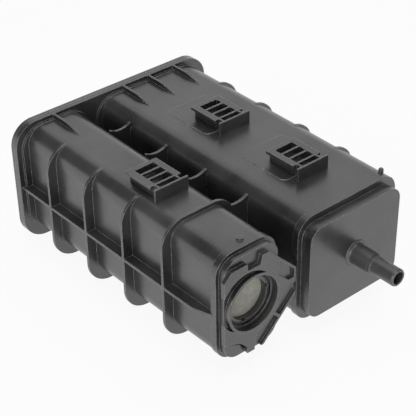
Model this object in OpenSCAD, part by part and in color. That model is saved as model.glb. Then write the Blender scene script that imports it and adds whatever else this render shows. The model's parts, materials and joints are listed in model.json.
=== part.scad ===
// Two-chamber charcoal canister for fuel vapour.
// X runs across the chambers, +Y points to the welded rear cover, the ports face -Y, and +Z is up.
// The origin is on the floor, under the middle of the whole canister.

/* [Flange and cover] */
// Width of the weld flange
flange_w = 220; // [190:1:260]
// Corner radius of the weld flange
flange_r = 23; // [12:0.5:30]
// Thickness of the housing's flange
flange_t = 5.2; // [3:0.1:8]
// Thickness of the cover's rim
cover_rim_t = 3.4; // [2:0.1:6]
// Wall of the cover's pan
cover_wall = 2.8; // [2:0.1:4]
// Depth of the pan's inside behind the rim
pan_depth = 6; // [3:0.5:16]
// Distance from the chambers' outline to the pan's inside
pan_inset = 4.5; // [3.5:0.5:8]
// Height of the ribs on the cover's back
cover_rib_h = 3.2; // [1:0.1:6]
// Upright ribs on the cover's back
cover_rib_count = 6; // [2:1:9]

/* [Chambers] */
// Flange edge to the outer side wall of each chamber
side_margin = 11.3; // [10:0.1:14]
// Flange edge to the chambers' top wall
top_margin = 4.3; // [3:0.1:8]
// Flange edge to the chambers' bottom wall
bottom_margin = 9.5; // [9.4:0.1:14]
// Height of both chambers at the flange
chamber_h = 107.9; // [90:0.1:112]
// Width of the vent chamber at the flange
vent_w = 62; // [56:0.5:70]
// Valley between the chambers at the flange
valley_w = 20.3; // [18:0.1:28]
// Corner radius of the chambers at the flange
chamber_r = 17; // [12:0.5:20]
// Draft of the chamber walls in degrees
draft = 0.5; // [0.2:0.05:0.8]
// Wall of the housing
wall = 2.6; // [2:0.1:3.5]
// Length of the port chamber in front of the flange
port_l = 264; // [240:1:300]
// Length of the vent chamber in front of the flange
vent_l = 258.2; // [235:0.1:295]

/* [Ribs] */
// Flange to the front face of the first cross rib
rib_first = 44.5; // [40:0.5:60]
// Pitch of the cross ribs
rib_pitch = 52.25; // [45:0.1:56]
// Flange to the front face of the port chamber's first outer rib
port_rib_first = 51.5; // [46:0.5:60]
// Pitch of the port chamber's outer ribs
port_rib_pitch = 51; // [45:0.1:54]
// Number of cross ribs
rib_count = 4; // [2:1:4]
// Thickness of the ribs
rib_t = 2.6; // [1.6:0.1:4]
// Depth of the ribs at the sides and the bottom
rib_depth = 9.3; // [5:0.1:9.4]
// How far the ribs stay below the chambers' top wall and the side ribs below the cross ribs
rib_sink = 0.25; // [0.1:0.05:0.6]
// Corner radius of the rib outline
rib_r = 23; // [14:0.5:26]
// Height of the last rib's lip on top of the vent chamber
lip_h = 3.6; // [1:0.1:5]
// Drop of the valley webs below the chambers' top
web_drop = 6; // [3:0.5:15]
// Extra dip in the middle of the valley webs
web_dip = 3; // [1:0.5:6]
// Height of the lengthwise side ribs above the floor
side_rib_z = 57.4; // [45:0.1:75]
// Length of the taper at the front of the side ribs
side_rib_taper = 19; // [8:0.5:30]
// Length of the collars at the flange
collar_l = 2.6; // [1:0.1:4]
// Height of the collars at the sides
collar_side = 6; // [3:0.1:8]
// Height of the collars on top
collar_top = 0.8; // [0.4:0.1:2]
// Width of the gussets behind the flange
gusset_t = 2; // [1.4:0.1:3]
// Level part of the gussets
gusset_level = 20; // [10:0.5:24]
// Whole length of the gussets
gusset_l = 41; // [30:0.5:43]
// Pitch of the gussets on the port chamber
gusset_pitch = 30.2; // [20:0.1:36]

/* [Front ends] */
// Length of the raised band at each chamber's front end
band_l = 6.3; // [3:0.1:10]
// Height of that band at the sides
band_side = 3; // [1:0.1:5]
// How much lower the port chamber's band is on its outer side
band_trim = 2.2; // [0:0.1:2.6]
// Length of the port chamber's nose
port_nose_l = 10.1; // [5:0.1:16]
// Step from the band to the port chamber's nose at the sides
port_nose_side = 4.7; // [3:0.1:7]
// Step from the band to the port chamber's nose on top and below
port_nose_step = 6.4; // [3:0.1:8]
// Length of the vent chamber's nose
vent_nose_l = 6; // [3.2:0.1:8]
// Step from the band to the vent chamber's nose
vent_nose_step = 3.2; // [1:0.1:5]
// Front end to the small moulded marks near it
mark_setback = 9.3; // [8:0.1:11]
// Diameter of the stud on the vent chamber
stud_d = 6; // [3:0.1:8]
// Height of that stud
stud_h = 1.8; // [0.5:0.1:3]
// Diameter of the round pip on the port chamber
pip_d = 4.6; // [3:0.1:6]
// Height of that pip's centre above the top wall
pip_h = 0.6; // [0.2:0.1:1.5]
// Distance of the pip from the port chamber's side
pip_inset = 8; // [6:0.1:12]
// Diameter of the two dimples on the vent chamber's side wall
dimple_d = 2.2; // [1.4:0.1:3]
// Depth of the dimples
dimple_depth = 0.8; // [0.3:0.1:1.2]
// Distance of the dimples from the chamber's middle height
dimple_at = 16; // [10:0.1:22]

/* [Hose nipple] */
// Diameter of the nipple's tube
nipple_d = 15.8; // [12:0.1:19]
// Bore of the nipple
nipple_bore = 11.4; // [6:0.1:11.6]
// Length of the tube
nipple_l = 26.8; // [20:0.1:40]
// Diameter of the shank
shank_d = 18.4; // [17:0.1:24]
// Length of the shank
shank_l = 21; // [12:0.1:30]
// Radius of the fillet at the shank's root
shank_fillet = 3; // [2:0.1:6]
// Height of the stop bead on the tube
bead_h = 0.9; // [0.4:0.1:1.3]
// Width of the groove between the shank and the bead
groove_w = 1; // [0.5:0.1:2]
// Length of the chamfer at the tube's end
nipple_tip = 1.2; // [0.6:0.1:2]

/* [Vent port] */
// Diameter of the vent socket
socket_d = 50.4; // [46:0.2:52]
// Wall of the socket's collar
socket_wall = 2.3; // [1.6:0.1:3]
// How far the collar stands in front of the clip plate
socket_rise = 0.4; // [0.1:0.1:3]
// Diameter of the ring between the collar and the clip plate's pockets
ring_d = 61; // [59:0.5:62]
// Diameter of the crescent relief beside the collar
relief_d = 55; // [52:0.5:56]
// Shift of the relief from the socket's axis
relief_shift = 9.2; // [8:0.1:10]
// Direction of that shift above the level, in degrees
relief_turn = 142; // [135:1:150]
// Depth of the socket, to the sleeve's rim
socket_depth = 7.1; // [5:0.1:8]
// Diameter of the passage inside the sleeve
passage_d = 38; // [32:0.5:39]
// Wall of the sleeve round the passage
sleeve_wall = 2.4; // [1.9:0.1:2.6]
// Depth of the moat between the sleeve and the collar
moat_depth = 2.6; // [1:0.1:3]
// Ledge between the moat and the socket's wall, on which the plug seats
seat_ledge = 1.3; // [0.8:0.1:1.5]
// Width of the slots in the sleeve
passage_slot_w = 5; // [3:0.1:7]
// Reach of those slots into the sleeve's wall
passage_slot_l = 1.5; // [0.8:0.1:1.6]
// Depth of those slots
passage_slot_depth = 3.6; // [2:0.1:4]
// Turn of the first slot from the level, in degrees
passage_turn = 14; // [0:1:60]
// Thickness of the clip plate
clip_t = 3.9; // [2.5:0.1:5]
// Distance of the clip plate's slanted edges from the axis
clip_slant = 41.6; // [39:0.1:44]
// Reach of the clip plate over the valley
clip_right = 45.6; // [42:0.1:46]
// Reach of the clip plate below the axis
clip_low = 48; // [46:0.1:48.4]
// Reach of the clip plate above the axis
clip_high = 43; // [41:0.1:46]
// Radius of the waist in the clip plate's lower left edge
clip_waist = 36.4; // [35:0.1:39]
// Cut corner at the clip plate's left shoulder
clip_corner = 7.5; // [4:0.1:10]
// Step from the chamber's band in to the clip plate's left edge
clip_setback = 0.4; // [0.1:0.1:1]
// Thickness of the floor in the clip plate's pockets
pocket_floor = 1.2; // [0.8:0.1:2]
// Cut corners of the lower pockets
pocket_corner = 5; // [3:0.1:6]
// How much lower the clip plate's left shoulder is
clip_shoulder = 1.5; // [0.5:0.1:4]
// Notch in the clip plate's top edge, left end from the axis
notch_left = -7; // [-12:0.5:-4]
// Notch in the clip plate's top edge, right end from the axis
notch_right = 8.4; // [5:0.1:10]
// Height of the notch's floor above the axis
notch_floor = 35; // [34:0.1:38]
// Thickness of the walls round the clip plate's pockets
clip_wall = 2; // [1.4:0.1:2.4]
// Half width of the spokes between the pockets
spoke = 2.6; // [1.6:0.1:4]
// Depth of the recess below the clip plate's left half
recess_depth = 1.4; // [0.5:0.1:1.6]

/* [Slide brackets] */
// Height of the brackets above the chambers' top
bracket_h = 11.4; // [8:0.1:16]
// Width of the bracket's top plate
bracket_w = 32.4; // [28:0.1:40]
// Thickness of the top plate
bracket_t = 2.6; // [1.6:0.1:4]
// Thickness of the walls under the top plate
bracket_wall = 1.6; // [1.2:0.1:2.6]
// Width of the slots
slot_w = 20; // [14:0.1:21]
// Length of the slot at the stop wall
slot_l = 6.4; // [4:0.1:7]
// Thickness of the slats between the slots
slat_t = 1.9; // [1.2:0.1:3]
// Pitch of the slots
slot_pitch = 9.45; // [8:0.05:10]
// Slots in each bracket
slot_count = 4; // [2:1:4]
// Top plate behind the last slot
bracket_tail = 4.4; // [3:0.1:10]
// Thickness of the stop wall at the front
stop_t = 1.8; // [1.2:0.1:3]
// Width of the stop wall
stop_w = 35; // [33:0.1:42]
// Height of the stop wall above the top plate
stop_rise = 0.8; // [0.2:0.1:3]
// Flange to the stop wall of the rear bracket on the port chamber
bracket_rear_at = 123; // [115:0.5:140]
// Flange to the stop wall of the front bracket on the port chamber
bracket_front_at = 221.4; // [205:0.1:225]
// Flange to the stop wall of the bracket on the vent chamber
bracket_vent_at = 168; // [155:0.5:180]
// Width of the landing pads behind the brackets
pad_w = 52; // [44:0.5:60]
// Length of the landing pads
pad_l = 56; // [50:0.5:62]
// Height of the landing pads
pad_h = 0.4; // [0.2:0.1:0.8]
// Corner radius of the landing pads
pad_r = 6; // [3:0.1:10]

/* [Filling] */
// Clearance between the filling and the walls
fit = 0.3; // [0.2:0.05:0.6]
// Thickness of the filter pads
filter_t = 6; // [3:0.5:12]
// Thickness of the pressure plates
plate_t = 4; // [2.5:0.1:6]
// Rim around the pressure plates' holes
plate_rim = 6; // [4:0.5:10]
// Columns of holes in the vent chamber's pressure plate
vent_hole_columns = 4; // [2:1:6]
// Columns of holes in the port chamber's pressure plate
port_hole_columns = 9; // [4:1:12]
// Rows of holes in the pressure plates
hole_rows = 8; // [4:1:10]
// Width of the pressure plates' bars
plate_bar = 3.2; // [2:0.1:5]
// Length of the fitted springs
spring_l = 26; // [18:0.5:40]
// Mean diameter of the springs
spring_d = 30; // [20:0.5:36]
// Wire of the springs
wire_d = 2.2; // [1.4:0.1:3]
// Turns of the springs
spring_turns = 5; // [3:0.5:7]
// Height of the spring seats
seat_h = 2.4; // [1:0.1:4]
// Wall of the spring seats
seat_wall = 1.6; // [1:0.1:3]
// Gap between the filter pads and the shoulders inside the front walls
standoff = 0.2; // [0.1:0.1:4]
// Thickness of the stand-off ribs
standoff_t = 2; // [1.2:0.1:3]

/* [Hidden] */
$fn = 64;

// Draft as a slope, and the places of the chambers
slope = tan(draft);
port_w = flange_w - 2 * side_margin - vent_w - valley_w;
vent_x = -flange_w / 2 + side_margin + vent_w / 2;
port_x = flange_w / 2 - side_margin - port_w / 2;
flange_h = top_margin + chamber_h + bottom_margin;
chamber_top = flange_h - top_margin;
chamber_z = chamber_top - chamber_h / 2;

// The springs stand at the quarter points of the plates
vent_spring_at = chamber_h / 4;
port_spring_at = port_w / 4;

// Lengthwise places, from the flange's front face
cover_back = flange_t + cover_rim_t + pan_depth + cover_wall + cover_rib_h;
front_end = port_l + port_nose_l + shank_l + nipple_l;
flange_y = (front_end - cover_back) / 2;
spring_seat_y = flange_y + flange_t + cover_rim_t + pan_depth;
plate_at = spring_l - (spring_seat_y - flange_y);
rear_filter_at = plate_at + plate_t;
bed_at = rear_filter_at + filter_t;
vent_face = vent_l + vent_nose_l;
socket_face = vent_face + clip_t + socket_rise;
cup_at = pad_front(vent_l);
over = 1;

function top_at(d) = chamber_top - d * slope;
function bottom_at(d) = chamber_top - chamber_h + d * slope;
function width_at(w, d) = w - 2 * d * slope;
function height_at(d) = chamber_h - 2 * d * slope;
function radius_at(d) = chamber_r - d * slope;

// Depth of the front filter pad's face in a chamber of the given length.
function pad_front(len) = len - wall - standoff;

// A rectangle with round corners, centred on the origin.
module rounded_rect(w, h, r) {
  square([w - 2 * r, h], center = true);
  square([w, h - 2 * r], center = true);
  for (sx = [-1, 1], sy = [-1, 1])
    translate([sx * (w / 2 - r), sy * (h / 2 - r)]) circle(r);
}

// A slab of an outline in X and Z, from the depth d towards the front.
module slab(d, t) {
  translate([0, flange_y - d, 0]) rotate([90, 0, 0]) linear_extrude(t) children();
}

// A box with round edges along Y whose four sides lean in by the draft.
module drafted_box(w, h, r, len) {
  t = len * slope;
  for (sx = [-1, 1], sz = [-1, 1])
    translate([sx * (w / 2 - r), 0, sz * (h / 2 - r)])
      rotate([90, 0, 0]) cylinder(h = len, r1 = r, r2 = r - t);
  linear_extrude(h - 2 * r, center = true)
    polygon([[-w / 2, 0], [w / 2, 0], [w / 2 - t, -len], [-w / 2 + t, -len]]);
  rotate([90, 0, 90]) linear_extrude(w - 2 * r, center = true)
    polygon([[0, -h / 2], [0, h / 2], [-len, h / 2 - t], [-len, -h / 2 + t]]);
}

// A length of a chamber's section, offset inwards by inset, from depth d0 to depth d1.
module chamber_length(x, w, inset, d0, d1) {
  translate([x, flange_y - d0, chamber_z])
    drafted_box(width_at(w, d0) - 2 * inset, height_at(d0) - 2 * inset, radius_at(d0) - inset, d1 - d0);
}

// The outline of one chamber's cross rib: flush on top, or raised by a lip.
module rib_outline(x, w, d, lip) {
  low = bottom_at(d) - rib_depth;
  high = top_at(d) + (lip > 0 ? lip : -rib_sink);
  translate([x, (low + high) / 2])
    rounded_rect(width_at(w, d) + 2 * rib_depth, high - low, rib_r);
}

// The web that closes the valley at a rib, with a dipped top edge.
module web_outline(d) {
  left = vent_x + width_at(vent_w, d) / 2;
  right = port_x - width_at(port_w, d) / 2;
  span = right - left;
  low = bottom_at(d) - rib_depth + rib_r;
  high = top_at(d) - web_drop;
  dip_r = (pow(span / 2, 2) + pow(web_dip, 2)) / (2 * web_dip);
  difference() {
    translate([left - over, low]) square([span + 2 * over, high - low]);
    translate([(left + right) / 2, high - web_dip + dip_r]) circle(dip_r);
  }
}

// All that is below the chambers' middle, and above it only what is outwards of x: side is -1 or 1.
module outer_part(x, side) {
  translate([x - flange_w, chamber_z - flange_h]) square([2 * flange_w, flange_h]);
  translate([side > 0 ? x : x - flange_w, chamber_z - over]) square([flange_w, flange_h]);
}

// One cross rib round the vent chamber, with its web over the valley; the front rib also goes over the top.
module vent_rib(i) {
  d = rib_first + i * rib_pitch;
  slab(d - rib_t, rib_t) {
    if (i == rib_count - 1) {
      rib_outline(vent_x, vent_w, d, lip_h);
    } else {
      intersection() {
        rib_outline(vent_x, vent_w, d, 0);
        outer_part(vent_x, -1);
      }
    }
    web_outline(d);
  }
}

// One cross rib round the outer side and the bottom of the port chamber.
module port_rib(i) {
  d = port_rib_first + i * port_rib_pitch;
  left = port_x - width_at(port_w, d) / 2 + wall / 2;
  slab(d - rib_t, rib_t) intersection() {
    rib_outline(port_x, port_w, d, 0);
    translate([left, bottom_at(d) - rib_depth]) square([port_w + rib_depth, chamber_h + rib_depth]);
    outer_part(port_x, 1);
  }
}

// The lengthwise rib on a chamber's outer side wall; side is -1 on the left and 1 on the right.
module side_rib(side, x, w, len) {
  root = width_at(w, 0) / 2 - wall / 2;
  crest = width_at(w, 0) / 2 + rib_depth - rib_sink;
  front = width_at(w, len) / 2;
  translate([x, flange_y, side_rib_z]) linear_extrude(rib_t)
    polygon([
      [side * root, 0], [side * crest, 0],
      [side * (crest - (len - side_rib_taper) * slope), -(len - side_rib_taper)],
      [side * (front + band_side), -len],
      [side * (front - wall / 2), -len]]);
}

// The weld flange with a collar round each chamber.
module weld_flange() {
  translate([0, 0, flange_h / 2]) slab(-flange_t, flange_t) rounded_rect(flange_w, flange_h, flange_r);
  for (c = [[vent_x, vent_w], [port_x, port_w]])
    translate([c[0], 0, chamber_z + collar_top / 2])
      slab(-over, collar_l + over)
        rounded_rect(c[1] + 2 * collar_side, chamber_h + collar_top, chamber_r + collar_side);
}

// A low plate that braces the flange on a chamber's top.
module gusset(x) {
  translate([x, 0, 0]) rotate([90, 0, 90]) linear_extrude(gusset_t, center = true)
    polygon([
      [flange_y + over, flange_h - flange_t / 2], [flange_y, flange_h],
      [flange_y - gusset_level, flange_h], [flange_y - gusset_l, top_at(gusset_l)],
      [flange_y - gusset_l, top_at(gusset_l) - wall / 2], [flange_y + over, chamber_top - wall / 2]]);
}

// The raised band at a chamber's front end and the nose in front of it; trim lowers the band on the right.
module chamber_front(x, w, len, nose_l, side_step, nose_step, trim) {
  w1 = width_at(w, len) + 2 * band_side - trim;
  h1 = height_at(len);
  r1 = radius_at(len);
  translate([x - trim / 2, 0, chamber_z]) {
    slab(len - band_l, band_l) rounded_rect(w1, h1, r1 + band_side - trim / 2);
    slab(len - over, nose_l + over)
      rounded_rect(w1 - 2 * side_step, h1 - 2 * nose_step, r1 + band_side - side_step);
  }
}

// The nipple's outer form as one revolved profile along its axis, from the nose outwards.
module nipple_form() {
  rs = shank_d / 2;
  rt = nipple_d / 2;
  tip_at = shank_l + nipple_l - nipple_tip;
  translate([port_x, flange_y - port_l - port_nose_l, chamber_z]) rotate([90, 0, 0])
    rotate_extrude() difference() {
      union() {
        square([rt, tip_at]);
        polygon([
          [0, tip_at - over], [rt, tip_at - over], [rt, tip_at],
          [rt - nipple_tip / 2, tip_at + nipple_tip], [0, tip_at + nipple_tip]]);
        square([rs, shank_l]);
        square([rs + shank_fillet, shank_fillet]);
        translate([0, shank_l + groove_w]) square([rt, 2 * bead_h]);
        translate([rt, shank_l + groove_w + bead_h]) circle(bead_h);
      }
      translate([rs + shank_fillet, shank_fillet]) circle(shank_fillet);
    }
}

// The vent port as solid forms: the clip plate on the nose, and the socket's cup through the front wall.
module vent_port_form() {
  translate([vent_x, 0, chamber_z]) {
    slab(vent_face, pocket_floor) difference() {
      clip_outline();
      relief();
    }
    slab(vent_face, clip_t) difference() {
      clip_outline();
      relief();
      for (m = [0, 1]) rotate(-45) mirror([0, m]) lower_pocket();
      upper_pocket();
    }
    slab(cup_at, socket_face - cup_at) circle(d = socket_d + 2 * socket_wall);
  }
}

// The crescent relief beside the collar, which the collar's own round closes on its other side.
module relief() {
  rotate(relief_turn) translate([relief_shift, 0]) circle(d = relief_d);
}

// The clip plate: slanted edges to the right, cut level with the chamber's side on the left.
module clip_outline() {
  left = -width_at(vent_w, vent_l) / 2 - band_side + clip_setback;
  shoulder = clip_high - clip_shoulder;
  slant = clip_slant * sqrt(2);
  polygon([
    [left, -sqrt(pow(clip_slant, 2) - pow(left, 2))], [-clip_waist * sin(24), -clip_waist * cos(24)],
    [notch_left, -clip_slant], [notch_left, -clip_low],
    [slant - clip_low, -clip_low], [clip_right, clip_right - slant],
    [clip_right, slant - clip_right], [slant - clip_high, clip_high],
    [notch_right, clip_high], [notch_right - clip_wall, notch_floor], [notch_left, notch_floor],
    [notch_left, shoulder], [left + clip_corner, shoulder], [left, shoulder - clip_corner]]);
}

// One of the two pockets along the lower slanted edge; X points at that edge's middle here.
module lower_pocket() {
  reach = clip_slant - clip_wall;
  root = ring_d * 0.39;
  difference() {
    polygon([
      [0, spoke / 2], [reach, spoke / 2], [reach, reach - pocket_corner * 2.2],
      [reach - pocket_corner, reach - pocket_corner * 1.2],
      [root, root - spoke * sqrt(2)], [0, 0]]);
    circle(d = ring_d);
  }
}

// The pocket along the upper slanted edge.
module upper_pocket() {
  reach = clip_right - clip_wall;
  slant = (clip_slant - clip_wall) * sqrt(2);
  root = ring_d * 0.44;
  low = ring_d * 0.028 + spoke;
  difference() {
    polygon([
      [root, root * 0.52], [ring_d * 0.61, low], [reach, low], [reach, slant - reach],
      [root, slant - root]]);
    circle(d = ring_d);
  }
}

// One slatted slide bracket with its stop wall, at depth d over a chamber at x; its foot is cut to fit later.
module slide_bracket(x, d) {
  base = top_at(d) - wall / 2;
  top = top_at(d) + bracket_h;
  frame_w = slot_w + 2 * bracket_wall;
  frame_l = slot_count * slot_pitch - (slot_pitch - slot_l) + bracket_tail;
  plate_from = slot_l;
  translate([x, flange_y - d, 0]) {
    difference() {
      union() {
        translate([-frame_w / 2, 0, base]) cube([frame_w, frame_l + stop_t, top - base]);
        translate([-bracket_w / 2, stop_t + plate_from, top - bracket_t])
          cube([bracket_w, frame_l - plate_from, bracket_t]);
        translate([-stop_w / 2, 0, base]) cube([stop_w, stop_t, top + stop_rise - base]);
      }
      translate([-slot_w / 2, stop_t, top_at(d - frame_l) + over / 2])
        cube([slot_w, frame_l - bracket_tail, top - bracket_t - top_at(d - frame_l) - over / 2]);
      for (i = [0:slot_count - 1]) {
        from = (i == 0) ? 0 : (i - 1) * slot_pitch + slot_l + slat_t;
        translate([-slot_w / 2, stop_t + from, top - bracket_t - over])
          cube([slot_w, i * slot_pitch + slot_l - from, bracket_t + 2 * over]);
      }
    }
  }
}

// The low landing pad that a mating rail slides on, behind a bracket.
module landing_pad(x, d) {
  front = d - stop_t - slot_l;
  translate([x, flange_y - front, top_at(front)]) rotate([draft, 0, 0])
    translate([0, pad_l / 2, -wall / 2]) linear_extrude(wall / 2 + pad_h) rounded_rect(pad_w, pad_l, pad_r);
}

// A stud on the vent chamber and a round pip on the port chamber, near their front ends.
module studs() {
  translate([vent_x + stud_h, flange_y - vent_l + mark_setback, top_at(vent_l) - wall / 2])
    cylinder(h = wall / 2 + stud_h, d = stud_d);
  translate([port_x + width_at(port_w, port_l) / 2 - pip_inset, flange_y - port_l + mark_setback, top_at(port_l) - wall])
    rotate_extrude() {
      square([pip_d / 2, wall + pip_h]);
      translate([0, wall + pip_h]) intersection() {
        circle(d = pip_d);
        square([pip_d, pip_d * 0.45]);
      }
    }
}

// Two dimples in the vent chamber's outer side wall.
module dimples() {
  side = vent_x - width_at(vent_w, vent_l - mark_setback) / 2;
  for (s = [-1, 1])
    translate([side - over, flange_y - vent_l + mark_setback, chamber_z + s * dimple_at])
      rotate([0, 90, 0]) cylinder(h = over + dimple_depth, d = dimple_d);
}

// Stand-off ribs inside a front wall, which hold the filter pad clear of it.
module standoffs(x, w, len, nose_l) {
  h = height_at(len) - 4 * chamber_r;
  for (i = [-1, 1])
    translate([x + i * width_at(w, len) / 3, flange_y - pad_front(len), chamber_z])
      rotate([90, 0, 0]) linear_extrude(standoff + nose_l + wall / 2)
        square([standoff_t, h], center = true);
}

// The inside of a chamber, with the space inside its nose.
module chamber_cavity(x, w, len, nose_l, side_step, nose_step, trim) {
  w1 = width_at(w, len) + 2 * band_side - trim - 2 * side_step - 2 * wall;
  h1 = height_at(len) - 2 * nose_step - 2 * wall;
  r1 = max(wall, radius_at(len) + band_side - side_step - wall);
  chamber_length(x, w, wall, -flange_t - over, len - wall);
  translate([x - trim / 2, 0, chamber_z])
    slab(len - wall - over, nose_l + over) rounded_rect(w1, h1, r1);
}

module housing() {
  color("dimgray")
    difference() {
      union() {
        difference() {
          union() {
            chamber_length(vent_x, vent_w, 0, 0, vent_l);
            chamber_length(port_x, port_w, 0, 0, port_l);
            weld_flange();
            for (i = [0:rib_count - 1]) {
              vent_rib(i);
              port_rib(i);
            }
            side_rib(-1, vent_x, vent_w, vent_l - band_l / 2);
            side_rib(1, port_x, port_w, port_l - band_l / 2);
            gusset(vent_x);
            for (i = [-1:1]) gusset(port_x + i * gusset_pitch);
            chamber_front(vent_x, vent_w, vent_l, vent_nose_l, vent_nose_step, vent_nose_step, 0);
            chamber_front(port_x, port_w, port_l, port_nose_l, port_nose_side, port_nose_step, band_trim);
            for (d = [bracket_rear_at, bracket_front_at]) landing_pad(port_x, d);
            studs();
          }
          dimples();
          chamber_cavity(vent_x, vent_w, vent_l, vent_nose_l, vent_nose_step, vent_nose_step, 0);
          chamber_cavity(port_x, port_w, port_l, port_nose_l, port_nose_side, port_nose_step, band_trim);
          nose_recess();
        }
        vent_port_form();
        standoffs(port_x, port_w, port_l, port_nose_l);
      }
      socket_bores();
      nipple_bore_form();
    }
}

// The recess in the vent chamber's nose, just below the clip plate's left half.
module nose_recess() {
  translate([vent_x, 0, chamber_z]) slab(vent_face - recess_depth, recess_depth + over)
    polygon(clip_slant * [
      [-0.6, -0.673], [-0.264, -0.769], [-0.096, -0.962], [-0.096, -1.072],
      [-0.192, -1.072], [-0.3125, -0.913], [-0.6, -0.793]]);
}

// The socket, with a moat round a sleeve that has three slots, and the passage through the sleeve.
module socket_bores() {
  floor_at = socket_face - socket_depth;
  translate([vent_x, 0, chamber_z]) {
    slab(floor_at, socket_depth + over) circle(d = socket_d);
    slab(floor_at - moat_depth, moat_depth + over) difference() {
      circle(d = socket_d - 2 * seat_ledge);
      circle(d = passage_d + 2 * sleeve_wall);
    }
    slab(cup_at - over, socket_face - cup_at) circle(d = passage_d);
    for (i = [0:2])
      rotate([0, -passage_turn - i * 120, 0]) slab(floor_at - passage_slot_depth, passage_slot_depth + over)
        translate([0, -passage_slot_w / 2]) square([passage_d / 2 + passage_slot_l, passage_slot_w]);
  }
}

// The bore through the port chamber's nose and the nipple.
module nipple_bore_form() {
  translate([port_x, 0, chamber_z])
    slab(port_l, port_nose_l + shank_l + nipple_l + over) circle(d = nipple_bore);
}

// The nipple, set on the port chamber's nose.
module hose_nipple() {
  color("dimgray") difference() {
    nipple_form();
    nipple_bore_form();
  }
}

module vent_bracket() {
  color("dimgray") difference() {
    slide_bracket(vent_x, bracket_vent_at);
    chamber_length(vent_x, vent_w, 0, 0, vent_l);
  }
}

// A bracket on the port chamber, whose foot also stands on its landing pad.
module port_bracket(d) {
  color("dimgray") difference() {
    slide_bracket(port_x, d);
    chamber_length(port_x, port_w, 0, 0, port_l);
    landing_pad(port_x, d);
  }
}

module port_rear_bracket() { port_bracket(bracket_rear_at); }
module port_front_bracket() { port_bracket(bracket_front_at); }

// The cover: a rim on the flange, a shallow pan with ribs on its back, and spring seats inside.
module rear_cover() {
  rim_at = -flange_t - cover_rim_t;
  inside_w = flange_w - 2 * side_margin - 2 * pan_inset;
  inside_h = chamber_h - 2 * pan_inset;
  inside_r = chamber_r - pan_inset;
  pan_w = inside_w + 2 * cover_wall;
  pan_h = inside_h + 2 * cover_wall;
  color("dimgray")
    difference() {
      union() {
        translate([0, 0, flange_h / 2]) slab(rim_at, cover_rim_t) rounded_rect(flange_w, flange_h, flange_r);
        translate([0, 0, chamber_z])
          slab(rim_at - pan_depth - cover_wall, pan_depth + cover_wall + over)
            rounded_rect(pan_w, pan_h, inside_r + cover_wall);
        cover_ribs(rim_at - pan_depth - cover_wall, pan_w, pan_h);
      }
      translate([0, 0, chamber_z])
        slab(rim_at - pan_depth, pan_depth + cover_rim_t + over) rounded_rect(inside_w, inside_h, inside_r);
    }
  color("dimgray") cover_seats();
}

// The ribs on the cover's back.
module cover_ribs(at, pan_w, pan_h) {
  step = (pan_w - 2 * flange_r) / (cover_rib_count - 1);
  translate([0, 0, chamber_z]) slab(at - cover_rib_h, cover_rib_h + over) {
    for (i = [0:cover_rib_count - 1])
      translate([-pan_w / 2 + flange_r + i * step - rib_t / 2, -pan_h / 2 + flange_r / 2])
        square([rib_t, pan_h - flange_r]);
    for (s = [-1, 0, 1])
      translate([-pan_w / 2 + flange_r, s * pan_h / 4 - rib_t / 2]) square([pan_w - 2 * flange_r, rib_t]);
  }
}

// A ring that holds one end of a spring, standing from the depth d towards the front.
module seat_ring(d) {
  slab(d, seat_h) difference() {
    circle(d = spring_d - wire_d - 2 * fit);
    circle(d = spring_d - wire_d - 2 * fit - 2 * seat_wall);
  }
}

// The spring seats inside the cover.
module cover_seats() {
  at = flange_y - spring_seat_y;
  for (s = [-1, 1]) {
    translate([vent_x, 0, chamber_z + s * vent_spring_at]) seat_ring(at);
    translate([port_x + s * port_spring_at, 0, chamber_z]) seat_ring(at);
  }
}

// A filter pad or carbon bed that fills a chamber's section from depth d0 to d1.
module filling(x, w, d0, d1) {
  chamber_length(x, w, wall + fit, d0, d1);
}

module vent_filter() {
  color("tan") filling(vent_x, vent_w, pad_front(vent_l) - filter_t, pad_front(vent_l));
}

module port_filter() {
  color("tan") filling(port_x, port_w, pad_front(port_l) - filter_t, pad_front(port_l));
}

module vent_carbon_bed() {
  color("black") filling(vent_x, vent_w, bed_at, pad_front(vent_l) - filter_t);
}

module port_carbon_bed() {
  color("black") filling(port_x, port_w, bed_at, pad_front(port_l) - filter_t);
}

module vent_rear_filter() {
  color("tan") filling(vent_x, vent_w, rear_filter_at, bed_at);
}

module port_rear_filter() {
  color("tan") filling(port_x, port_w, rear_filter_at, bed_at);
}

// A perforated plate; its springs stand at the given offsets.
module pressure_plate(x, w, columns, offsets) {
  pw = width_at(w, rear_filter_at) - 2 * (wall + fit);
  ph = height_at(rear_filter_at) - 2 * (wall + fit);
  px = (pw - 2 * plate_rim + plate_bar) / columns;
  pz = (ph - 2 * plate_rim + plate_bar) / hole_rows;
  translate([x, 0, chamber_z]) {
    slab(plate_at, plate_t) difference() {
      rounded_rect(pw, ph, radius_at(rear_filter_at) - wall - fit);
      for (i = [0:columns - 1], k = [0:hole_rows - 1])
        translate([(i - (columns - 1) / 2) * px, (k - (hole_rows - 1) / 2) * pz])
          square([px - plate_bar, pz - plate_bar], center = true);
    }
    for (o = offsets) translate([o[0], 0, o[1]]) seat_ring(plate_at - seat_h);
  }
}

module vent_pressure_plate() {
  color("gray") pressure_plate(vent_x, vent_w, vent_hole_columns, [for (s = [-1, 1]) [0, s * vent_spring_at]]);
}

module port_pressure_plate() {
  color("gray") pressure_plate(port_x, port_w, port_hole_columns, [for (s = [-1, 1]) [s * port_spring_at, 0]]);
}

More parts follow.
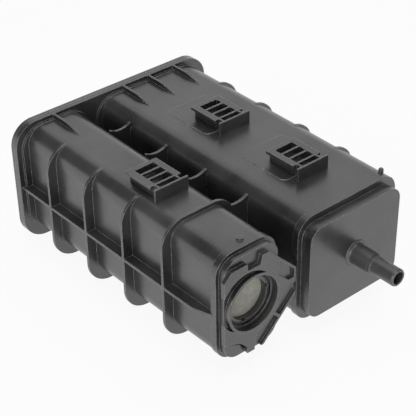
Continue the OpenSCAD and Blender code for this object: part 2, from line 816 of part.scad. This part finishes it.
// A helical spring between a pressure plate and the cover, as one swept wire.
module spring(x, z) {
  rings_per_turn = 18;
  sides = 8;
  rings = round(spring_turns * rings_per_turn);
  rise = spring_l - wire_d;
  function eased(t) = t * t * (3 - 2 * t) * 0.35 + t * 0.65;
  points = [for (i = [0:rings], k = [0:sides - 1])
    let (a = 360 * i / rings_per_turn, b = 360 * k / sides, rr = spring_d / 2 + wire_d / 2 * cos(b))
    [rr * cos(a), rr * sin(a), wire_d / 2 + rise * eased(i / rings) + wire_d / 2 * sin(b)]];
  faces = concat(
    [[for (k = [0:sides - 1]) k]],
    [for (i = [0:rings - 1], k = [0:sides - 1])
      let (a = i * sides + k, b = i * sides + (k + 1) % sides)
      [a, a + sides, b + sides, b]],
    [[for (k = [sides - 1:-1:0]) rings * sides + k]]);
  color("silver") translate([x, spring_seat_y, z]) rotate([90, 0, 0])
    polyhedron(points = points, faces = faces, convexity = 10);
}

module vent_spring_upper() { spring(vent_x, chamber_z + vent_spring_at); }
module vent_spring_lower() { spring(vent_x, chamber_z - vent_spring_at); }
module port_spring_left() { spring(port_x - port_spring_at, chamber_z); }
module port_spring_right() { spring(port_x + port_spring_at, chamber_z); }

housing();
hose_nipple();
vent_bracket();
port_rear_bracket();
port_front_bracket();
rear_cover();
vent_filter();
port_filter();
vent_carbon_bed();
port_carbon_bed();
vent_rear_filter();
port_rear_filter();
vent_pressure_plate();
port_pressure_plate();
vent_spring_upper();
vent_spring_lower();
port_spring_left();
port_spring_right();
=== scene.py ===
"""Dresses the charcoal canister: moulded plastic, filter felt, carbon, springs, studio and camera."""

from __future__ import annotations

import json
import logging
import math
from dataclasses import dataclass
from enum import Enum

import bmesh
import bpy
from mathutils import Matrix, Vector, noise

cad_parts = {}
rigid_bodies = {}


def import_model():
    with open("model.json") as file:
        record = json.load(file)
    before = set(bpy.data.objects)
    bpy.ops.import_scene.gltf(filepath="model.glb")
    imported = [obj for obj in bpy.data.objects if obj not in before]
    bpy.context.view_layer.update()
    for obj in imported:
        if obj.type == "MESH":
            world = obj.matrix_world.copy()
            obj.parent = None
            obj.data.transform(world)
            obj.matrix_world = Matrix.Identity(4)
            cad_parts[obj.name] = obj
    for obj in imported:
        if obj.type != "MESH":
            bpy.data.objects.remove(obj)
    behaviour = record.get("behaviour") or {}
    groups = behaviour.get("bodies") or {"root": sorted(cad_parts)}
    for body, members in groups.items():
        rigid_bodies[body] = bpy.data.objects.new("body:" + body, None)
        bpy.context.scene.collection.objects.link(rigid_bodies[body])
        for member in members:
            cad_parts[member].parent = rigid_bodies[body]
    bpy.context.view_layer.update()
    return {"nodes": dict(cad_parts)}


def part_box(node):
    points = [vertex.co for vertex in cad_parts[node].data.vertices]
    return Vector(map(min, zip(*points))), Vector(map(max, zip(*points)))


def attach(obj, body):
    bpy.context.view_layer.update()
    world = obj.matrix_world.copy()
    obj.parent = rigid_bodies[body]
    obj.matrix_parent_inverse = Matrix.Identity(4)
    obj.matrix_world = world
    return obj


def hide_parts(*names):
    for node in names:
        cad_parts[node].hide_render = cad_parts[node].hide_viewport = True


LOG = logging.getLogger("canister")
MM = 0.001
PHOTO_PIXELS = 416


class Chamber(Enum):
    """The canister's two chambers, by the names that their nodes start with."""

    VENT = "vent"
    PORT = "port"


class NodeGraph:
    """A small helper that adds shader nodes to a material or a world and links them."""

    def __init__(self, tree: bpy.types.NodeTree) -> None:
        """Starts from an empty tree.

        Args:
            tree: The node tree to fill.
        """
        self.tree = tree
        tree.nodes.clear()

    def add(self, kind: str, **settings: object) -> bpy.types.Node:
        """Adds a node and sets its properties.

        Args:
            kind: The node's type name.
            settings: Properties of the node, by name.

        Returns:
            The new node.
        """
        node = self.tree.nodes.new(kind)
        for name, value in settings.items():
            setattr(node, name, value)
        return node

    def link(self, source: bpy.types.NodeSocket, target: bpy.types.NodeSocket) -> None:
        """Links an output to an input."""
        self.tree.links.new(source, target)

    def noise(
        self, vector: bpy.types.NodeSocket, scale: float, detail: float, rough: float
    ) -> bpy.types.Node:
        """Adds a noise texture on the given coordinates.

        Args:
            vector: The coordinates' socket.
            scale: The noise's scale per metre.
            detail: Its octaves.
            rough: How strong the finer octaves are.

        Returns:
            The noise node.
        """
        node = self.add("ShaderNodeTexNoise")
        node.inputs["Scale"].default_value = scale
        node.inputs["Detail"].default_value = detail
        node.inputs["Roughness"].default_value = rough
        self.link(vector, node.inputs["Vector"])
        return node

    def spread(
        self, value: bpy.types.NodeSocket, low: float, high: float, to_low: float, to_high: float
    ) -> bpy.types.NodeSocket:
        """Maps a range of a value onto another range, clamped.

        Args:
            value: The socket to map.
            low: Start of the source range.
            high: End of the source range.
            to_low: Result at the start.
            to_high: Result at the end.

        Returns:
            The mapped value's socket.
        """
        node = self.add("ShaderNodeMapRange", clamp=True)
        node.inputs["From Min"].default_value = low
        node.inputs["From Max"].default_value = high
        node.inputs["To Min"].default_value = to_low
        node.inputs["To Max"].default_value = to_high
        self.link(value, node.inputs["Value"])
        return node.outputs["Result"]

    def math(
        self, operation: str, first: bpy.types.NodeSocket, second: bpy.types.NodeSocket | float
    ) -> bpy.types.NodeSocket:
        """Combines two values.

        Args:
            operation: The math node's operation.
            first: The first value's socket.
            second: The second value, or its socket.

        Returns:
            The result's socket.
        """
        node = self.add("ShaderNodeMath", operation=operation)
        self.link(first, node.inputs[0])
        if isinstance(second, bpy.types.NodeSocket):
            self.link(second, node.inputs[1])
        else:
            node.inputs[1].default_value = second
        return node.outputs["Value"]

    def shade(
        self, value: bpy.types.NodeSocket, dark: tuple[float, float, float], light: tuple[float, float, float]
    ) -> bpy.types.NodeSocket:
        """Turns a value from 0 to 1 into a colour between two colours.

        Args:
            value: The value's socket.
            dark: Colour at 0.
            light: Colour at 1.

        Returns:
            The colour's socket.
        """
        node = self.add("ShaderNodeValToRGB")
        node.color_ramp.elements[0].color = (*dark, 1.0)
        node.color_ramp.elements[1].color = (*light, 1.0)
        self.link(value, node.inputs["Fac"])
        return node.outputs["Color"]


@dataclass(frozen=True)
class Finish:
    """A finish that makes one material."""

    name: str

    def material(self) -> bpy.types.Material:
        """Makes the material, or gives the one made before.

        Returns:
            The material.
        """
        made = bpy.data.materials.get(f"{self.name}_finish")
        if made is None:
            made = bpy.data.materials.new(f"{self.name}_finish")
            made.use_nodes = True
            self.fill(NodeGraph(made.node_tree))
        return made

    def fill(self, graph: NodeGraph) -> None:
        """Fills the material's nodes; each finish has its own."""
        raise NotImplementedError

    def surface(self, graph: NodeGraph) -> bpy.types.Node:
        """Adds the surface shader and the output.

        Args:
            graph: The material's graph.

        Returns:
            The surface shader.
        """
        shader = graph.add("ShaderNodeBsdfPrincipled")
        output = graph.add("ShaderNodeOutputMaterial")
        graph.link(shader.outputs["BSDF"], output.inputs["Surface"])
        return shader


@dataclass(frozen=True)
class MouldedPlastic(Finish):
    """Black moulded plastic with a fine grain, cloudy gloss, and edges painted paler for slight wear and as a
    painted highlight.
    """

    dark: tuple[float, float, float] = (0.018, 0.0184, 0.0178)
    light: tuple[float, float, float] = (0.066, 0.066, 0.0645)
    # Edge colour: partly wear, partly a painted highlight on the rounded edges.
    wear_and_edge_highlight: tuple[float, float, float] = (0.42, 0.42, 0.41)
    gloss_low: float = 0.2
    gloss_high: float = 0.4
    sheen_level: float = 1.0
    ior: float = 1.55
    edge: float = 0.6 * MM
    grain: float = 0.12
    grain_depth: float = 0.12 * MM
    cloud_scale: float = 22.0
    flow_scale: tuple[float, float, float] = (60.0, 7.0, 60.0)
    flow_gloss: float = 0.03
    speck_scale: float = 420.0
    grain_scale: float = 1500.0
    parting_z: float | None = None
    parting_beyond_x: float = 94.0 * MM
    parting_half: float = 0.15 * MM
    parting_fade: float = 0.35 * MM
    parting_height: float = 3.0

    def fill(self, graph: NodeGraph) -> None:
        """Fills the plastic's nodes.

        Args:
            graph: The material's graph.
        """
        shader = self.surface(graph)
        place = graph.add("ShaderNodeTexCoord").outputs["Object"]
        cloud = graph.noise(place, self.cloud_scale, 3.0, 0.55)
        drift = graph.add("ShaderNodeMapping")
        drift.inputs["Scale"].default_value = self.flow_scale
        graph.link(place, drift.inputs["Vector"])
        flow = graph.noise(drift.outputs["Vector"], 1.0, 2.0, 0.5)
        speck = graph.noise(place, self.speck_scale, 4.0, 0.6)
        soft = graph.add("ShaderNodeBevel", samples=6)
        soft.inputs["Radius"].default_value = self.edge
        self.colour(graph, shader, cloud, speck, soft)
        cloudy = graph.spread(cloud.outputs["Fac"], 0.15, 0.85, self.gloss_low, self.gloss_high)
        streaks = graph.spread(flow.outputs["Fac"], 0.3, 0.7, -self.flow_gloss, self.flow_gloss)
        graph.link(graph.math("ADD", cloudy, streaks), shader.inputs["Roughness"])
        grain = graph.noise(place, self.grain_scale, 2.0, 0.5)
        swell = graph.spread(cloud.outputs["Fac"], 0.2, 0.8, 0.0, 1.2)
        height = graph.math("ADD", grain.outputs["Fac"], swell)
        if self.parting_z is not None:
            height = graph.math("ADD", height, self.parting(graph, place))
        bump = graph.add("ShaderNodeBump")
        bump.inputs["Strength"].default_value = self.grain
        bump.inputs["Distance"].default_value = self.grain_depth
        graph.link(height, bump.inputs["Height"])
        graph.link(soft.outputs["Normal"], bump.inputs["Normal"])
        graph.link(bump.outputs["Normal"], shader.inputs["Normal"])
        shader.inputs["Specular IOR Level"].default_value = self.sheen_level
        shader.inputs["IOR"].default_value = self.ior

    def colour(
        self, graph: NodeGraph, shader: bpy.types.Node, cloud: bpy.types.Node, speck: bpy.types.Node,
        soft: bpy.types.Node
    ) -> None:
        """Colours the plastic, painted paler along its edges: partly handling wear, partly a painted
        highlight.

        Args:
            graph: The material's graph.
            shader: The surface shader.
            cloud: The broad noise.
            speck: The fine noise.
            soft: The bevel whose normal differs from the true one at edges.
        """
        broad = graph.spread(cloud.outputs["Fac"], 0.3, 0.7, 0.0, 0.7)
        fine = graph.spread(speck.outputs["Fac"], 0.55, 0.75, 0.0, 0.3)
        body = graph.shade(graph.math("ADD", broad, fine), self.dark, self.light)
        along = graph.add("ShaderNodeVectorMath", operation="DOT_PRODUCT")
        graph.link(soft.outputs["Normal"], along.inputs[0])
        graph.link(graph.add("ShaderNodeNewGeometry").outputs["Normal"], along.inputs[1])
        # Edge mask from the bevel: edges are painted paler, partly as wear and partly as a painted highlight.
        bent = graph.spread(along.outputs["Value"], 0.995, 0.85, 0.0, 1.0)
        rubbed_and_highlit = graph.math("MULTIPLY", bent, graph.spread(speck.outputs["Fac"], 0.35, 0.6, 0.2, 1.0))
        mix = graph.add("ShaderNodeMix", data_type="RGBA")
        graph.link(rubbed_and_highlit, mix.inputs[0])
        graph.link(body, mix.inputs[6])
        mix.inputs[7].default_value = (*self.wear_and_edge_highlight, 1.0)
        graph.link(mix.outputs[2], shader.inputs["Base Color"])

    def parting(self, graph: NodeGraph, place: bpy.types.NodeSocket) -> bpy.types.NodeSocket:
        """Raises the fine line that the mould's halves leave on the outer sides.

        Args:
            graph: The material's graph.
            place: The object coordinates.

        Returns:
            The line's height.
        """
        parts = graph.add("ShaderNodeSeparateXYZ")
        graph.link(place, parts.inputs["Vector"])
        away = graph.math("ABSOLUTE", graph.math("SUBTRACT", parts.outputs["Z"], self.parting_z), 0.0)
        line = graph.spread(away, self.parting_half, self.parting_fade, self.parting_height, 0.0)
        side = graph.math("ABSOLUTE", parts.outputs["X"], 0.0)
        outer = graph.spread(side, self.parting_beyond_x, self.parting_beyond_x + 1 * MM, 0.0, 1.0)
        return graph.math("MULTIPLY", line, outer)


@dataclass(frozen=True)
class Felt(Finish):
    """Pressed beige-grey filter felt with short fibres."""

    dark: tuple[float, float, float] = (0.34, 0.33, 0.288)
    light: tuple[float, float, float] = (0.62, 0.608, 0.545)
    clump_scale: float = 160.0
    fibre_scale: float = 900.0
    fibre_depth: float = 0.4 * MM

    def fill(self, graph: NodeGraph) -> None:
        """Fills the felt's nodes.

        Args:
            graph: The material's graph.
        """
        shader = self.surface(graph)
        place = graph.add("ShaderNodeTexCoord").outputs["Object"]
        clump = graph.noise(place, self.clump_scale, 3.0, 0.6)
        fibre = graph.noise(place, self.fibre_scale, 6.0, 0.7)
        broad = graph.spread(clump.outputs["Fac"], 0.3, 0.7, 0.0, 0.5)
        fine = graph.spread(fibre.outputs["Fac"], 0.35, 0.65, 0.0, 0.5)
        tone = graph.math("ADD", broad, fine)
        graph.link(graph.shade(tone, self.dark, self.light), shader.inputs["Base Color"])
        graph.link(graph.spread(fibre.outputs["Fac"], 0.3, 0.7, 0.8, 1.0), shader.inputs["Roughness"])
        bump = graph.add("ShaderNodeBump")
        bump.inputs["Strength"].default_value = 0.6
        bump.inputs["Distance"].default_value = self.fibre_depth
        graph.link(graph.math("ADD", clump.outputs["Fac"], fibre.outputs["Fac"]), bump.inputs["Height"])
        graph.link(bump.outputs["Normal"], shader.inputs["Normal"])
        shader.inputs["Specular IOR Level"].default_value = 0.2


@dataclass(frozen=True)
class Granules(Finish):
    """A bed of black carbon granules, with painted shade in the gaps between them."""

    size: float = 2.2 * MM
    dark: tuple[float, float, float] = (0.006, 0.006, 0.006)
    light: tuple[float, float, float] = (0.03, 0.03, 0.03)

    def fill(self, graph: NodeGraph) -> None:
        """Fills the granules' nodes.

        Args:
            graph: The material's graph.
        """
        shader = self.surface(graph)
        place = graph.add("ShaderNodeTexCoord").outputs["Object"]
        cells = graph.add("ShaderNodeTexVoronoi", feature="F1")
        cells.inputs["Scale"].default_value = 1.0 / self.size
        graph.link(place, cells.inputs["Vector"])
        # Lighter at each granule's middle and darker toward the gaps between granules: painted shade in the
        # gaps.
        tone = graph.spread(cells.outputs["Distance"], 0.0, 0.7, 1.0, 0.0)
        graph.link(graph.shade(tone, self.dark, self.light), shader.inputs["Base Color"])
        graph.link(graph.spread(cells.outputs["Distance"], 0.0, 0.7, 0.55, 0.95), shader.inputs["Roughness"])
        bump = graph.add("ShaderNodeBump")
        bump.inputs["Strength"].default_value = 0.9
        bump.inputs["Distance"].default_value = self.size / 2
        graph.link(tone, bump.inputs["Height"])
        graph.link(bump.outputs["Normal"], shader.inputs["Normal"])


@dataclass(frozen=True)
class SpringWire(Finish):
    """Drawn spring steel."""

    dark: tuple[float, float, float] = (0.4, 0.4, 0.41)
    light: tuple[float, float, float] = (0.62, 0.62, 0.63)
    draw_scale: float = 700.0

    def fill(self, graph: NodeGraph) -> None:
        """Fills the wire's nodes.

        Args:
            graph: The material's graph.
        """
        shader = self.surface(graph)
        place = graph.add("ShaderNodeTexCoord").outputs["Object"]
        draw = graph.noise(place, self.draw_scale, 3.0, 0.6)
        graph.link(graph.shade(draw.outputs["Fac"], self.dark, self.light), shader.inputs["Base Color"])
        graph.link(graph.spread(draw.outputs["Fac"], 0.3, 0.7, 0.28, 0.46), shader.inputs["Roughness"])
        shader.inputs["Metallic"].default_value = 1.0


@dataclass
class Shell:
    """The housing moulding, the brackets and the nipple on it, and the cover welded to it."""

    housing_node: str = "housing"
    bracket_nodes: tuple[str, ...] = ("vent_bracket", "port_rear_bracket", "port_front_bracket")
    nipple_node: str = "hose_nipple"
    cover_node: str = "rear_cover"
    parting_z: float = 58.7 * MM

    def dress(self, nodes: dict[str, bpy.types.Object]) -> None:
        """Gives the mouldings their plastic.

        Args:
            nodes: The CAD nodes by name.
        """
        put_on(nodes[self.housing_node], MouldedPlastic("black_moulding", parting_z=self.parting_z))
        for name in self.bracket_nodes:
            put_on(nodes[name], MouldedPlastic("bracket_moulding"))
        smooth = MouldedPlastic(
            "smooth_moulding",
            dark=(0.032, 0.0323, 0.032),
            light=(0.07, 0.07, 0.0686),
            # Paler edge colour: partly wear, partly a painted highlight.
            wear_and_edge_highlight=(0.12, 0.12, 0.118),
            gloss_low=0.36,
            gloss_high=0.44,
            grain=0.03,
        )
        put_on(nodes[self.nipple_node], smooth)
        put_on(nodes[self.cover_node], MouldedPlastic("cover_moulding", gloss_low=0.3, gloss_high=0.44))


@dataclass
class Filling:
    """What the chambers hold: felt pads, carbon, pressure plates and springs."""

    front_corner: float = 11.9 * MM
    rear_corner: float = 13.9 * MM
    rim: float = 0.9 * MM
    cell: float = 4.0 * MM
    nap: float = 0.35 * MM
    nap_scale: float = 140.0
    weld: float = 1e-7
    springs: tuple[str, ...] = (
        "vent_spring_upper", "vent_spring_lower", "port_spring_left", "port_spring_right"
    )

    def build(self, nodes: dict[str, bpy.types.Object]) -> None:
        """Builds the felt pads and dresses the other pieces.

        Args:
            nodes: The CAD nodes by name.
        """
        felt = Felt("filter_felt")
        carbon = Granules("carbon_granules")
        plate = MouldedPlastic("grey_moulding", dark=(0.05, 0.05, 0.05), light=(0.08, 0.08, 0.08))
        wire = SpringWire("spring_wire")
        for chamber in Chamber:
            self.felt_pad(f"{chamber.value}_filter", self.front_corner, felt)
            self.felt_pad(f"{chamber.value}_rear_filter", self.rear_corner, felt)
            put_on(nodes[f"{chamber.value}_carbon_bed"], carbon)
            put_on(nodes[f"{chamber.value}_pressure_plate"], plate)
        for name in self.springs:
            put_on(nodes[name], wire)

    def felt_pad(self, node: str, corner: float, felt: Felt) -> bpy.types.Object:
        """Builds one felt pad in the place of its CAD block.

        Args:
            node: The CAD block that the pad stands for.
            corner: Radius of the pad's upright corners.
            felt: The felt's finish.

        Returns:
            The pad.
        """
        low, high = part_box(node)
        mesh = bmesh.new()
        bmesh.ops.create_cube(mesh, size=1.0)
        bmesh.ops.scale(mesh, vec=high - low, verts=mesh.verts)
        bmesh.ops.translate(mesh, vec=(low + high) / 2, verts=mesh.verts)
        upright = [e for e in mesh.edges if abs((e.verts[0].co - e.verts[1].co).normalized().y) > 0.9]
        bmesh.ops.bevel(mesh, geom=upright, offset=corner, offset_type="OFFSET", segments=8, profile=0.5,
                        affect="EDGES", material=-1)
        rims = [e for e in mesh.edges if abs(e.verts[0].co.y - e.verts[1].co.y) < self.weld]
        bmesh.ops.bevel(mesh, geom=rims, offset=self.rim, offset_type="OFFSET", segments=2, profile=0.5,
                        affect="EDGES", material=-1)
        self.cut(mesh, low, high, 0)
        self.cut(mesh, low, high, 2)
        middle = (low + high) / 2
        for vert in mesh.verts:
            dent = 0.5 + 0.5 * noise.noise(vert.co * self.nap_scale)
            vert.co += (middle - vert.co).normalized() * self.nap * dent
        bmesh.ops.recalc_face_normals(mesh, faces=mesh.faces)
        piece = new_piece(f"{node}_felt", mesh)
        put_on(piece, felt)
        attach(piece, "root")
        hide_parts(node)
        LOG.info("%s stands for %s", piece.name, node)
        return piece

    def cut(self, mesh: bmesh.types.BMesh, low: Vector, high: Vector, axis: int) -> None:
        """Cuts a pad into cells along one axis, so that its nap can be shaped.

        Args:
            mesh: The pad's mesh.
            low: Lowest corner of the pad.
            high: Highest corner of the pad.
            axis: 0 for X or 2 for Z.
        """
        count = int((high[axis] - low[axis]) / self.cell)
        normal = Vector((0.0, 0.0, 0.0))
        normal[axis] = 1.0
        for i in range(1, count):
            at = low.copy()
            at[axis] = low[axis] + (high[axis] - low[axis]) * i / count
            geom = list(mesh.verts) + list(mesh.edges) + list(mesh.faces)
            bmesh.ops.bisect_plane(mesh, geom=geom, plane_co=at, plane_no=normal, dist=self.weld)


@dataclass(frozen=True)
class SoftLamp:
    """A square soft lamp: its name, its place and side in metres, and its power in watts."""

    name: str
    place: tuple[float, float, float]
    size: float
    power: float


@dataclass
class Studio:
    """A pale floor, soft lamps and a white surround."""

    floor_size: float = 8.0
    floor_z: float = -0.3 * MM
    floor_colour: tuple[float, float, float] = (0.9, 0.9, 0.9)
    floor_white: float = 0.92
    horizon: float = 1.0
    horizon_top: float = 0.17
    ceiling: float = 0.08
    ceiling_from: float = 0.25
    lamp_target: tuple[float, float, float] = (0.0, 0.0, 0.06)
    lamps: tuple[SoftLamp, ...] = (
        SoftLamp("back_softbox", (0.75, 0.95, 0.95), 1.5, 5.2),
        SoftLamp("top_lamp", (-0.05, -0.1, 1.4), 1.0, 9.5),
        SoftLamp("edge_lamp", (0.75, 0.0, 1.25), 0.35, 1.5),
        SoftLamp("front_softbox", (-0.5, -1.2, 1.1), 0.8, 0.6),
        SoftLamp("left_softbox", (-1.4, -0.6, 0.6), 1.0, 8.0),
    )

    def build(self) -> None:
        """Builds the floor, the world and the lamps."""
        self.floor()
        self.world()
        for lamp in self.lamps:
            self.light(lamp)

    def floor(self) -> None:
        """Makes the floor, which shows white to the camera but keeps the canister's shadow."""
        mesh = bmesh.new()
        bmesh.ops.create_grid(mesh, x_segments=1, y_segments=1, size=self.floor_size / 2)
        bmesh.ops.translate(mesh, vec=Vector((0.0, 0.0, self.floor_z)), verts=mesh.verts)
        plane = new_piece("floor", mesh)
        paint = bpy.data.materials.new("floor_paint")
        paint.use_nodes = True
        graph = NodeGraph(paint.node_tree)
        matt = graph.add("ShaderNodeBsdfDiffuse")
        matt.inputs["Color"].default_value = (*self.floor_colour, 1.0)
        white = graph.add("ShaderNodeEmission")
        white.inputs["Strength"].default_value = 1.0
        seen = graph.math("MULTIPLY", self.seen_rays(graph), self.floor_white)
        mix = graph.add("ShaderNodeMixShader")
        graph.link(seen, mix.inputs["Fac"])
        graph.link(matt.outputs["BSDF"], mix.inputs[1])
        graph.link(white.outputs["Emission"], mix.inputs[2])
        output = graph.add("ShaderNodeOutputMaterial")
        graph.link(mix.outputs["Shader"], output.inputs["Surface"])
        plane.data.materials.append(paint)

    def seen_rays(self, graph: NodeGraph) -> bpy.types.NodeSocket:
        """Gives 1 for rays that show the background: seen directly, mirrored or through glass.

        Args:
            graph: The graph to add to.

        Returns:
            The value's socket.
        """
        path = graph.add("ShaderNodeLightPath")
        glossy = graph.math("MAXIMUM", path.outputs["Is Camera Ray"], path.outputs["Is Glossy Ray"])
        return graph.math("MAXIMUM", glossy, path.outputs["Is Transmission Ray"])

    def world(self) -> None:
        """Makes the surround, white round the horizon and dim above, as a studio's ceiling is."""
        world = bpy.data.worlds.new("surround")
        bpy.context.scene.world = world
        world.use_nodes = True
        graph = NodeGraph(world.node_tree)
        sky = graph.add("ShaderNodeBackground")
        sky.inputs["Color"].default_value = (1.0, 1.0, 1.0, 1.0)
        way = graph.add("ShaderNodeSeparateXYZ")
        graph.link(graph.add("ShaderNodeTexCoord").outputs["Generated"], way.inputs["Vector"])
        rise = way.outputs["Z"]
        strength = graph.spread(rise, self.horizon_top, self.ceiling_from, self.horizon, self.ceiling)
        graph.link(strength, sky.inputs["Strength"])
        output = graph.add("ShaderNodeOutputWorld")
        graph.link(sky.outputs["Background"], output.inputs["Surface"])

    def light(self, lamp: SoftLamp) -> None:
        """Adds a soft lamp that faces the canister.

        Args:
            lamp: The lamp to add.
        """
        data = bpy.data.lights.new(lamp.name, "AREA")
        data.size = lamp.size
        data.energy = lamp.power
        stand = bpy.data.objects.new(lamp.name, data)
        place = Vector(lamp.place)
        stand.location = place
        stand.rotation_euler = (Vector(self.lamp_target) - place).to_track_quat("-Z", "Y").to_euler()
        bpy.context.scene.collection.objects.link(stand)


@dataclass
class PhotoCamera:
    """The camera at the photo's viewing angle."""

    target: tuple[float, float, float] = (-1.82 * MM, 14.92 * MM, 57.72 * MM)
    azimuth: float = -40.178
    elevation: float = 34.216
    roll: float = -0.959
    distance: float = 1125.54 * MM
    focal_pixels: float = 1266.83
    sensor: float = 36.0
    centre_pixel: float = 208.5

    def build(self) -> bpy.types.Object:
        """Makes the camera and sets it as the scene's.

        Returns:
            The camera.
        """
        az = math.radians(self.azimuth)
        el = math.radians(self.elevation)
        roll = math.radians(self.roll)
        back = Vector((math.sin(az) * math.cos(el), -math.cos(az) * math.cos(el), math.sin(el)))
        level = Vector((math.cos(az), math.sin(az), 0.0))
        plumb = back.cross(level)
        right = level * math.cos(roll) + plumb * math.sin(roll)
        up = plumb * math.cos(roll) - level * math.sin(roll)
        data = bpy.data.cameras.new("photo_camera")
        data.sensor_width = self.sensor
        data.lens = self.focal_pixels / PHOTO_PIXELS * self.sensor
        data.shift_x = (PHOTO_PIXELS / 2 - self.centre_pixel) / PHOTO_PIXELS
        data.clip_end = 50.0
        camera = bpy.data.objects.new("photo_camera", data)
        turn = Matrix((right, up, back)).transposed().to_4x4()
        camera.matrix_world = Matrix.Translation(Vector(self.target) + back * self.distance) @ turn
        bpy.context.scene.collection.objects.link(camera)
        bpy.context.scene.camera = camera
        return camera


def new_piece(name: str, mesh: bmesh.types.BMesh) -> bpy.types.Object:
    """Turns a finished bmesh into an object at the origin.

    Args:
        name: The object's name.
        mesh: The mesh, which is freed.

    Returns:
        The object.
    """
    data = bpy.data.meshes.new(name)
    mesh.to_mesh(data)
    mesh.free()
    piece = bpy.data.objects.new(name, data)
    bpy.context.scene.collection.objects.link(piece)
    return piece


def put_on(piece: bpy.types.Object, finish: Finish) -> None:
    """Gives a piece one finish all over.

    Args:
        piece: The piece.
        finish: Its finish.
    """
    piece.data.materials.clear()
    piece.data.materials.append(finish.material())
    LOG.info("%s: %s", piece.name, finish.name)


def main() -> None:
    """Builds the scene."""
    logging.basicConfig(level=logging.INFO, format="%(name)s: %(message)s")
    for obj in list(bpy.data.objects):
        bpy.data.objects.remove(obj)
    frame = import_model()
    nodes = frame["nodes"]
    PhotoCamera().build()
    Shell().dress(nodes)
    Filling().build(nodes)
    Studio().build()
    bpy.context.scene.view_settings.view_transform = "Standard"


if __name__ == "__main__":
    main()
